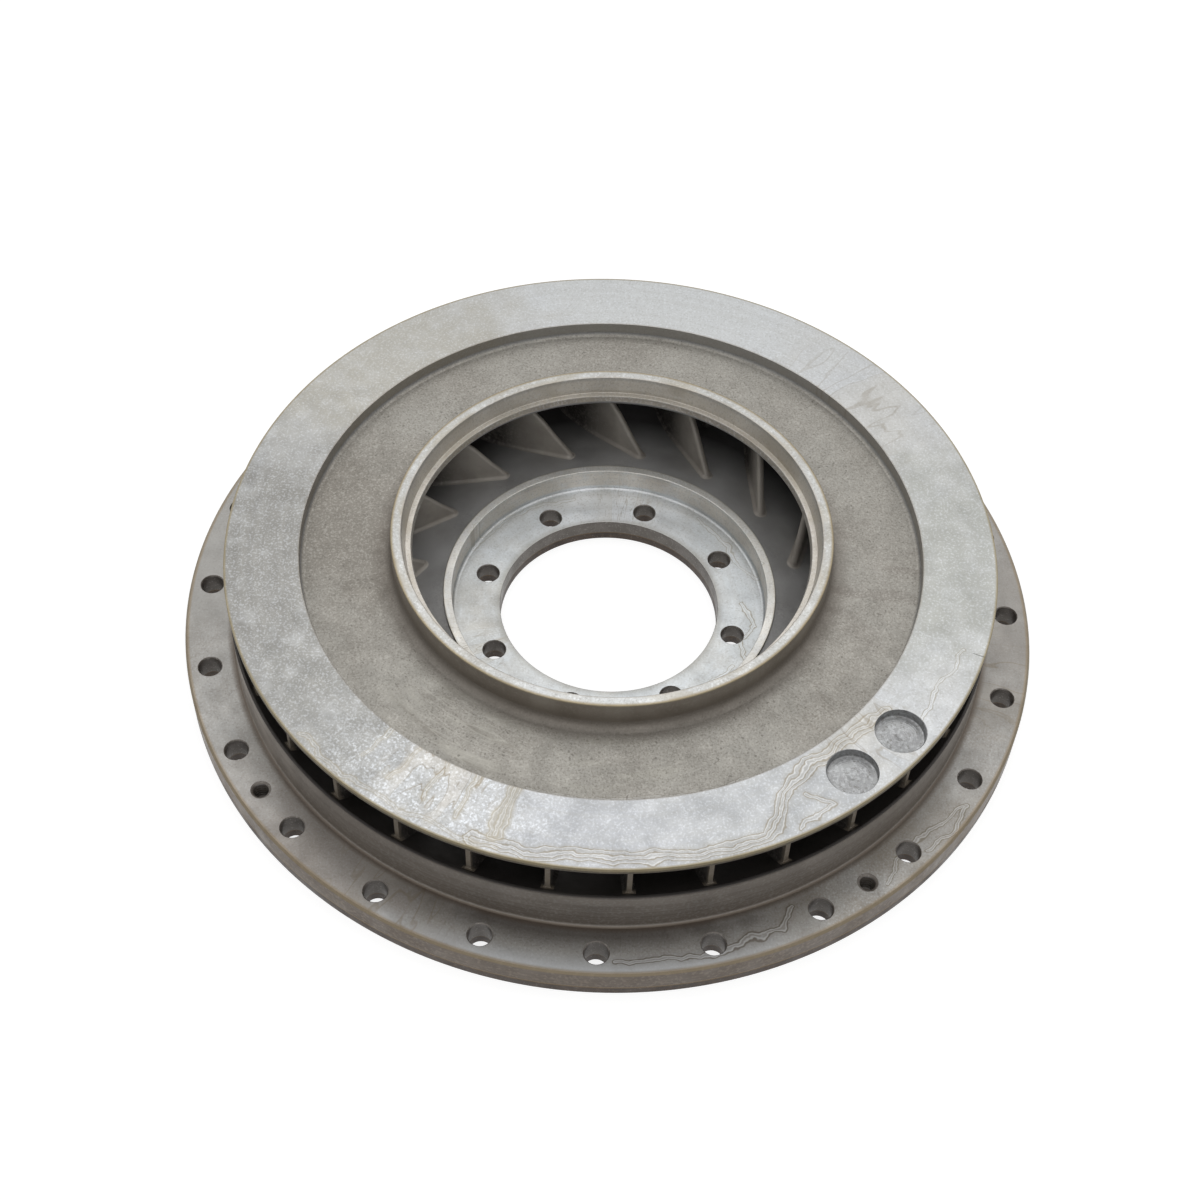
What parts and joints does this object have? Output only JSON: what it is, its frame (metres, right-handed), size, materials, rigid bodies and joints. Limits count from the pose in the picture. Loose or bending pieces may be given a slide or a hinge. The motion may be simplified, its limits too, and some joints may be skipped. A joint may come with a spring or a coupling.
{
  "type": "closed pump impeller",
  "caption": "Closed radial pump impeller: curved vanes cast between a dished back shell and a front shroud, with a drilled rim flange, a bolted hub and a central inlet eye.",
  "frame": {"origin": "centre of the hub's back face, in the plane that the wheel lies on", "axes": "+Z along the spin axis, out through the inlet eye; +X through one of the flange holes"},
  "size_m": [0.3957, 0.3958, 0.0677],
  "materials": {
    "machined": "fine turned aluminium, lightly stained",
    "turned_wall": "turned aluminium with a brown oil film",
    "cast": "sand cast aluminium, matt grain",
    "vane": "as cast aluminium, smooth and oily",
    "steel": "dark oiled steel"
  },
  "bodies": {
    "root": {"hub": "machined", "hub_backing_ring": "steel", "back_shell": "cast", "outer_wall": "turned_wall", "mounting_flange": "machined", "flange_backing_ring": "steel", "front_shroud": "cast", "front_ring": "machined", "inlet_rim": "machined", "vane_01": "vane", "vane_02": "vane", "vane_03": "vane", "vane_04": "vane", "vane_05": "vane", "vane_06": "vane", "vane_07": "vane", "vane_08": "vane", "vane_09": "vane", "vane_10": "vane", "vane_11": "vane", "vane_12": "vane", "vane_13": "vane", "vane_14": "vane", "vane_15": "vane", "vane_16": "vane", "splitter_01": "vane", "splitter_02": "vane", "splitter_03": "vane", "splitter_04": "vane", "splitter_05": "vane", "splitter_06": "vane", "splitter_07": "vane", "splitter_08": "vane", "splitter_09": "vane", "splitter_10": "vane", "splitter_11": "vane", "splitter_12": "vane", "splitter_13": "vane", "splitter_14": "vane", "splitter_15": "vane", "splitter_16": "vane"}
  },
  "joints": []
}
